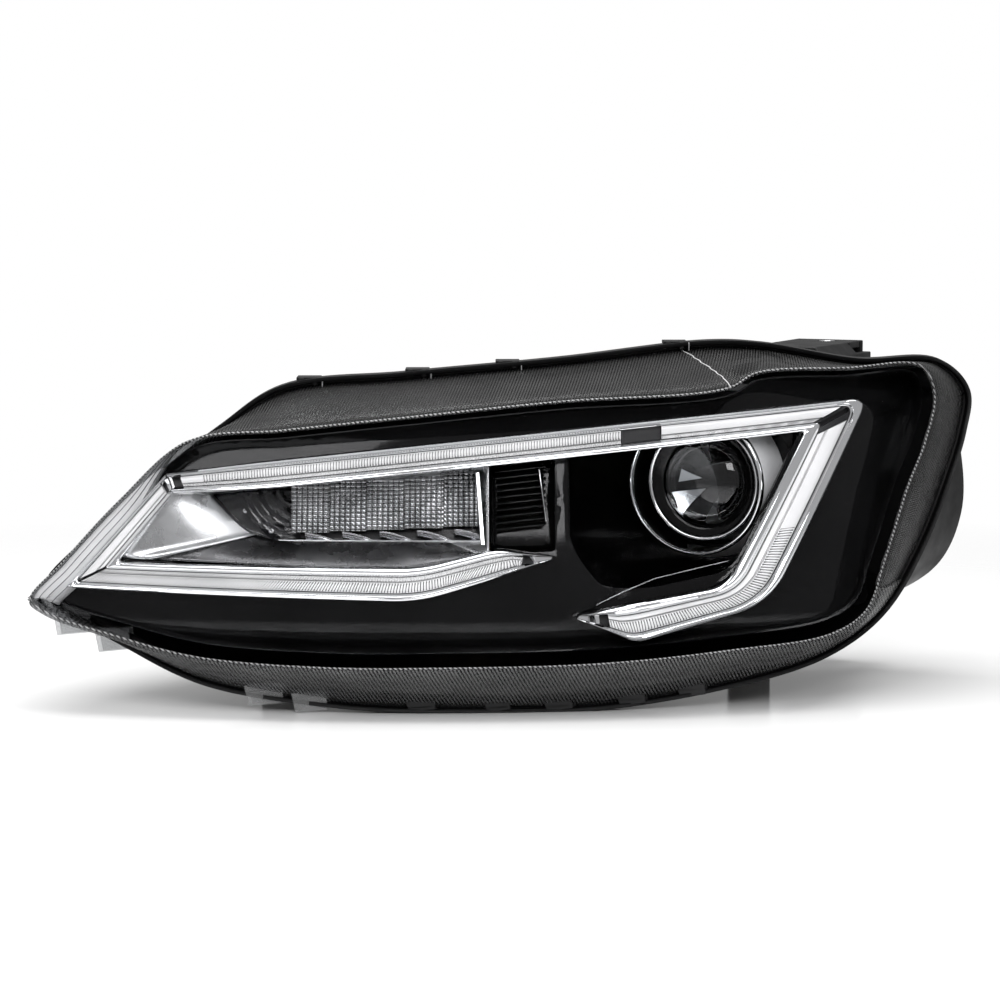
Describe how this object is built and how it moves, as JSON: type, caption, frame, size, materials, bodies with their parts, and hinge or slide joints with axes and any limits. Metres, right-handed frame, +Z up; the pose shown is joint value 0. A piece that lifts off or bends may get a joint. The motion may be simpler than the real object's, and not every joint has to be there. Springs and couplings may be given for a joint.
{
  "type": "car headlight assembly",
  "caption": "Swept-back car headlamp with clear lens, gloss-black bezel, chrome daytime-light frames, projector on an aiming gimbal, turn signal, rear bulb cap and mounting tabs.",
  "frame": {"origin": "on the resting plane under the middle of the bounding box", "axes": "+X outboard along the longest side, +Y rearward, +Z up as fitted in the vehicle"},
  "size_m": [0.533, 0.472, 0.2383],
  "materials": {
    "clear_lens": "clear hard-coated polycarbonate",
    "fluted_clear": "clear moulded plastic with fine flutes",
    "optical_glass": "polished optical glass",
    "gloss_black": "piano black",
    "satin_black": "fine satin grain",
    "housing_black": "matt glass-filled moulding",
    "chrome": "vacuum-metallised, bright",
    "aluminium": "die cast",
    "steel": "zinc plated",
    "rubber": "matt",
    "circuit_board": "solder resist",
    "brass": "tin-flashed contacts"
  },
  "bodies": {
    "lamp": {"outer_lens": "clear_lens", "lens_gasket": "rubber", "housing": "housing_black", "bezel_mask": "gloss_black", "upper_trim": "chrome", "lower_trim": "chrome", "light_guide_upper": "fluted_clear", "light_guide_hook": "fluted_clear", "light_guide_lower": "fluted_clear", "light_guide_left": "fluted_clear", "led_board_outer": "circuit_board", "led_board_inner": "circuit_board", "reflector_tray": "chrome", "turn_signal_lens": "fluted_clear", "turn_signal_reflector": "chrome", "turn_signal_board": "circuit_board", "turn_signal_heatsink": "aluminium", "vane_panel": "satin_black", "projector_well": "gloss_black", "vent_cap_1": "rubber", "vent_cap_2": "rubber", "main_connector": "satin_black", "connector_pins": "brass", "driver_case": "satin_black", "driver_heatsink": "aluminium", "driver_screw_1": "steel", "driver_screw_2": "steel", "driver_screw_3": "steel", "driver_screw_4": "steel", "wiring_loom": "rubber", "bushing_inner": "steel", "bushing_lower": "steel", "bushing_arm": "steel", "projector_sleeve": "chrome", "yaw_bracket_upper": "steel", "yaw_bracket_lower": "steel", "levelling_motor": "satin_black"},
    "aim_frame": {"aiming_frame": "satin_black", "adjuster_nut": "satin_black", "yaw_pin_upper": "steel", "yaw_pin_lower": "steel"},
    "projector": {"projector_lens": "optical_glass", "lens_retainer": "chrome", "lens_barrel": "aluminium", "solenoid_body": "satin_black", "projector_reflector": "aluminium", "carrier_ring": "aluminium", "pitch_pin_inner": "steel", "pitch_pin_outer": "steel"},
    "shield": {"cutoff_shield": "steel", "shield_shaft": "steel"},
    "plunger": {"solenoid_plunger": "steel"},
    "bulb": {"bulb_glass": "optical_glass", "bulb_base": "steel", "bulb_plug": "satin_black"},
    "pushrod": {"levelling_pushrod": "satin_black"},
    "side_screw": {"side_adjuster_screw": "satin_black"},
    "height_screw": {"height_adjuster_screw": "satin_black"},
    "cap_seal": {"bulb_cap_seal": "rubber"},
    "cap": {"bulb_cap": "satin_black"}
  },
  "joints": [
    {"name": "aim_yaw", "type": "hinge", "parent": "lamp", "child": "aim_frame", "pos_m": [0.13026, 0.08898, 0.1438], "axis": [0, 0, 1], "range_deg": [-3, 3]},
    {"name": "aim_pitch", "type": "hinge", "parent": "aim_frame", "child": "projector", "pos_m": [0.13026, 0.08898, 0.1438], "axis": [1, 0, 0], "range_deg": [-3, 3]},
    {"name": "shield_flip", "type": "hinge", "parent": "projector", "child": "shield", "pos_m": [0.13026, 0.06698, 0.1188], "axis": [1, 0, 0], "range_deg": [0, 22], "stiffness_Nm_per_rad": 0.02, "springref_deg": -17.19},
    {"name": "plunger_slide", "type": "slide", "parent": "projector", "child": "plunger", "axis": [0, 1, 0], "range_m": [0, 0.0105]},
    {"name": "bulb_twist", "type": "hinge", "parent": "projector", "child": "bulb", "pos_m": [0.13026, 0.08898, 0.1438], "axis": [0, 1, 0], "range_deg": [0, 30]},
    {"name": "pushrod_slide", "type": "slide", "parent": "lamp", "child": "pushrod", "axis": [0, 1, 0], "range_m": [-0.0036, 0.0036]},
    {"name": "side_screw_turn", "type": "hinge", "parent": "lamp", "child": "side_screw", "pos_m": [0.19226, 0.13398, 0.1698], "axis": [0, 1, 0], "range_deg": [-1200, 1200]},
    {"name": "height_screw_turn", "type": "hinge", "parent": "lamp", "child": "height_screw", "pos_m": [0.19526, 0.18398, 0.0568], "axis": [0, 1, 0], "range_deg": [-1260, 1260]},
    {"name": "cap_turn", "type": "hinge", "parent": "lamp", "child": "cap_seal", "pos_m": [0.13026, 0.19498, 0.1438], "axis": [0, 1, 0], "range_deg": [0, 30]},
    {"name": "cap_pull", "type": "slide", "parent": "cap_seal", "child": "cap", "axis": [0, 1, 0], "range_m": [0, 0.04]}
  ],
  "couplings": [
    {"joint": "plunger_slide", "follows": "shield_flip", "m_per_rad": 0.024},
    {"joint": "pushrod_slide", "follows": "aim_pitch", "m_per_rad": 0.066},
    {"joint": "side_screw_turn", "follows": "aim_yaw", "ratio": 389.6},
    {"joint": "height_screw_turn", "follows": "aim_pitch", "ratio": 414.7}
  ]
}
